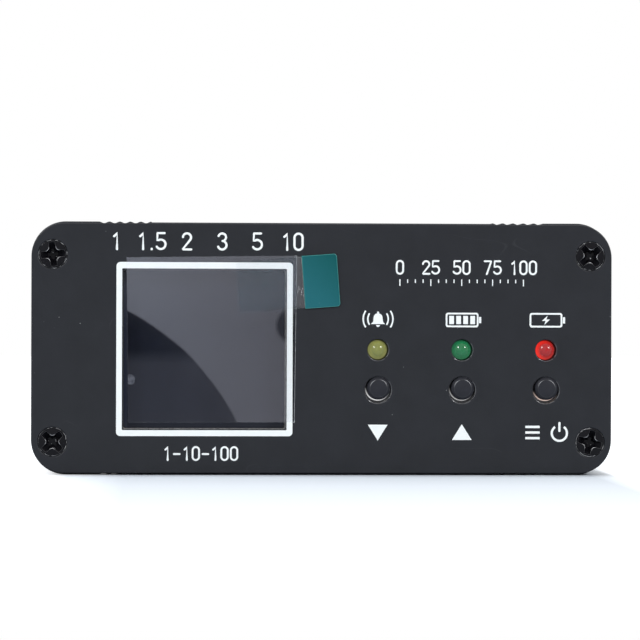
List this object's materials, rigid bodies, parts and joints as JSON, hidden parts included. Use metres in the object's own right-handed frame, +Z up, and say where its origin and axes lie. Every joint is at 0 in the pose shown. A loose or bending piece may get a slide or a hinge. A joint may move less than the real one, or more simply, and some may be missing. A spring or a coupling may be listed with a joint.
{
  "type": "swr meter",
  "caption": "Compact standing wave and power meter: split extruded case, small colour display, indicator lamps and push buttons in front, radio sockets behind.",
  "frame": {"origin": "on the underside plane, below the centre of the whole outline", "axes": "+Z up, +Y along the depth from the front panel to the radio sockets, +X to the right as seen from the front"},
  "size_m": [0.088, 0.1194, 0.0383],
  "materials": {
    "case": "black anodised, fine satin, drawn along the depth",
    "panel": "black anodised, satin, bare metal in the machined openings",
    "black_screws": "black oxide",
    "display_glass": "dark glossy display face",
    "clear_film": "clear soft plastic film",
    "teal_film": "teal tape, slightly glossy",
    "amber_lens": "diffused amber and olive resin",
    "green_lens": "diffused green resin",
    "red_lens": "diffused red resin",
    "black_plastic": "moulded black plastic",
    "button_plastic": "moulded black plastic, satin",
    "white_plastic": "moulded white plastic",
    "insulator": "milky fluoropolymer",
    "foam": "black closed-cell foam",
    "ribbon": "amber flexible print",
    "tinned_steel": "tinned stamped steel",
    "circuit_board": "green solder mask on glass fibre laminate",
    "nickel": "bright nickel plate on brass",
    "gold": "thin gold plate on brass",
    "ferrite": "dull grey sintered ferrite",
    "copper": "enamelled copper wire",
    "cell_wrap": "laminated foil pouch",
    "lead_cover": "soft insulated wire"
  },
  "bodies": {
    "root": {"upper_shell": "case", "lower_shell": "case", "front_panel": "panel", "rear_panel": "panel", "front_screw_1": "black_screws", "front_screw_2": "black_screws", "front_screw_3": "black_screws", "front_screw_4": "black_screws", "rear_screw_1": "black_screws", "rear_screw_2": "black_screws", "rear_screw_3": "black_screws", "rear_screw_4": "black_screws", "display_gasket": "foam", "display_glass": "display_glass", "display_tray": "white_plastic", "display_tape": "foam", "display_ribbon": "ribbon", "screen_film": "clear_film", "tab_strip": "clear_film", "pull_tab": "teal_film", "lamp_amber": "amber_lens", "lamp_green": "green_lens", "lamp_red": "red_lens", "switch_base_left": "black_plastic", "switch_base_middle": "black_plastic", "switch_base_right": "black_plastic", "switch_cover_left": "tinned_steel", "switch_cover_middle": "tinned_steel", "switch_cover_right": "tinned_steel", "front_board": "circuit_board", "main_board": "circuit_board", "board_header": "black_plastic", "port_shell": "nickel", "port_insert": "black_plastic", "antenna_socket_body": "nickel", "antenna_socket_insulator": "insulator", "antenna_socket_contact": "gold", "antenna_screw_1": "nickel", "antenna_screw_2": "nickel", "antenna_screw_3": "nickel", "antenna_screw_4": "nickel", "transmitter_socket_body": "nickel", "transmitter_socket_insulator": "insulator", "transmitter_socket_contact": "gold", "transmitter_screw_1": "nickel", "transmitter_screw_2": "nickel", "transmitter_screw_3": "nickel", "transmitter_screw_4": "nickel", "line_core": "ferrite", "line_winding": "copper", "through_line": "copper", "sense_core": "ferrite", "sense_winding": "copper", "battery_cell": "cell_wrap", "battery_pad": "foam", "battery_lead": "lead_cover"},
    "button_left": {"button_left": "button_plastic"},
    "button_middle": {"button_middle": "button_plastic"},
    "button_right": {"button_right": "button_plastic"}
  },
  "joints": [
    {"name": "button_left_press", "type": "slide", "parent": "root", "child": "button_left", "axis": [0, 1, 0], "range_m": [0, 0.00025], "stiffness_N_per_m": 6400},
    {"name": "button_middle_press", "type": "slide", "parent": "root", "child": "button_middle", "axis": [0, 1, 0], "range_m": [0, 0.00025], "stiffness_N_per_m": 6400},
    {"name": "button_right_press", "type": "slide", "parent": "root", "child": "button_right", "axis": [0, 1, 0], "range_m": [0, 0.00025], "stiffness_N_per_m": 6400}
  ]
}
